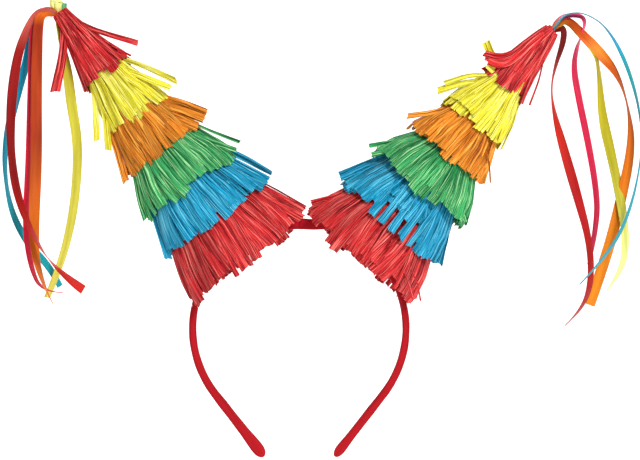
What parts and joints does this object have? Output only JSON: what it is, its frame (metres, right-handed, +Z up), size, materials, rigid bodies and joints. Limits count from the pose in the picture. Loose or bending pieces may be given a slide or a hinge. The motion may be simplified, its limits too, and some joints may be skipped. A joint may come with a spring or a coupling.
{
  "type": "pinata style party headband",
  "caption": "Party headband with two outward leaning cones covered in rows of coloured paper fringe, and satin ribbons hanging from each tip.",
  "frame": {"origin": "centre of the band's circular arc, which is the axis of the head_arch clamp, in the middle of the band's width", "axes": "+Z up through the crown of the band, +X to the right seen from the front, +Y to the back; the band lies in the plane Y = 0"},
  "size_m": [0.3878, 0.081, 0.2758],
  "materials": {
    "band_plastic": "matte moulded",
    "band_satin": "red satin",
    "cone_board": "matte paperboard",
    "hot_glue": "satin",
    "paper_red": "crinkled raffia paper",
    "paper_yellow": "crinkled raffia paper",
    "paper_orange": "crinkled raffia paper",
    "paper_green": "crinkled raffia paper",
    "paper_blue": "crinkled raffia paper",
    "ribbon_red": "satin ribbon",
    "ribbon_orange": "satin ribbon",
    "ribbon_pink": "satin ribbon",
    "ribbon_yellow": "satin ribbon",
    "ribbon_blue": "satin ribbon"
  },
  "bodies": {
    "root": {"crown_core": "band_plastic", "crown_sleeve": "band_satin", "left_cone_shell": "cone_board", "left_base_disc": "cone_board", "left_tip_tie": "ribbon_red", "left_glue_saddle": "hot_glue", "left_fringe_red_top": "paper_red", "left_fringe_yellow": "paper_yellow", "left_fringe_orange": "paper_orange", "left_fringe_green": "paper_green", "left_fringe_blue": "paper_blue", "left_fringe_red_base": "paper_red", "right_cone_shell": "cone_board", "right_base_disc": "cone_board", "right_tip_tie": "ribbon_red", "right_glue_saddle": "hot_glue", "right_fringe_red_top": "paper_red", "right_fringe_yellow": "paper_yellow", "right_fringe_orange": "paper_orange", "right_fringe_green": "paper_green", "right_fringe_blue": "paper_blue", "right_fringe_red_base": "paper_red", "left_tip_fold": "ribbon_yellow"},
    "left_arm": {"left_arm_core": "band_plastic", "left_arm_sleeve": "band_satin", "left_end_cap": "band_satin"},
    "right_arm": {"right_arm_core": "band_plastic", "right_arm_sleeve": "band_satin", "right_end_cap": "band_satin"},
    "left_red_ribbon": {"left_ribbon_red": "ribbon_red"},
    "left_orange_ribbon": {"left_ribbon_orange": "ribbon_orange"},
    "left_pink_ribbon": {"left_ribbon_pink": "ribbon_pink"},
    "left_yellow_ribbon": {"left_ribbon_yellow": "ribbon_yellow"},
    "left_blue_ribbon": {"left_ribbon_blue": "ribbon_blue"},
    "right_turquoise_ribbon": {"right_ribbon_turquoise": "ribbon_blue"},
    "right_red_ribbon": {"right_ribbon_red": "ribbon_red"},
    "right_yellow_ribbon": {"right_ribbon_yellow": "ribbon_yellow"},
    "right_orange_ribbon": {"right_ribbon_orange": "ribbon_orange"},
    "right_pink_ribbon": {"right_ribbon_pink": "ribbon_pink"}
  },
  "joints": [
    {"name": "left_arm_flex", "type": "hinge", "parent": "root", "child": "left_arm", "pos_m": [-0.0626, 0, 0.01331], "axis": [0, 1, 0], "range_deg": [-4, 15], "stiffness_Nm_per_rad": 0.5},
    {"name": "right_arm_flex", "type": "hinge", "parent": "root", "child": "right_arm", "pos_m": [0.0626, 0, 0.01331], "axis": [0, -1, 0], "range_deg": [-4, 15], "stiffness_Nm_per_rad": 0.5},
    {"name": "left_red_ribbon_swing", "type": "hinge", "parent": "root", "child": "left_red_ribbon", "pos_m": [-0.14598, 0, 0.19301], "axis": [0, 1, 0], "range_deg": [-3, 30]},
    {"name": "left_orange_ribbon_swing", "type": "hinge", "parent": "root", "child": "left_orange_ribbon", "pos_m": [-0.14598, 0, 0.19301], "axis": [0, 1, 0], "range_deg": [-3, 30]},
    {"name": "left_pink_ribbon_swing", "type": "hinge", "parent": "root", "child": "left_pink_ribbon", "pos_m": [-0.14598, 0, 0.19301], "axis": [0, 1, 0], "range_deg": [-3, 30]},
    {"name": "left_yellow_ribbon_swing", "type": "hinge", "parent": "root", "child": "left_yellow_ribbon", "pos_m": [-0.14598, 0, 0.19301], "axis": [0, 1, 0], "range_deg": [-3, 30]},
    {"name": "left_blue_ribbon_swing", "type": "hinge", "parent": "root", "child": "left_blue_ribbon", "pos_m": [-0.14598, 0, 0.19301], "axis": [0, 1, 0], "range_deg": [-3, 30]},
    {"name": "right_turquoise_ribbon_swing", "type": "hinge", "parent": "root", "child": "right_turquoise_ribbon", "pos_m": [0.15481, 0, 0.18339], "axis": [0, -1, 0], "range_deg": [-3, 30]},
    {"name": "right_red_ribbon_swing", "type": "hinge", "parent": "root", "child": "right_red_ribbon", "pos_m": [0.15481, 0, 0.18339], "axis": [0, -1, 0], "range_deg": [-3, 30]},
    {"name": "right_yellow_ribbon_swing", "type": "hinge", "parent": "root", "child": "right_yellow_ribbon", "pos_m": [0.15481, 0, 0.18339], "axis": [0, -1, 0], "range_deg": [-3, 30]},
    {"name": "right_orange_ribbon_swing", "type": "hinge", "parent": "root", "child": "right_orange_ribbon", "pos_m": [0.15481, 0, 0.18339], "axis": [0, -1, 0], "range_deg": [-3, 30]},
    {"name": "right_pink_ribbon_swing", "type": "hinge", "parent": "root", "child": "right_pink_ribbon", "pos_m": [0.15481, 0, 0.18339], "axis": [0, -1, 0], "range_deg": [-3, 30]}
  ]
}
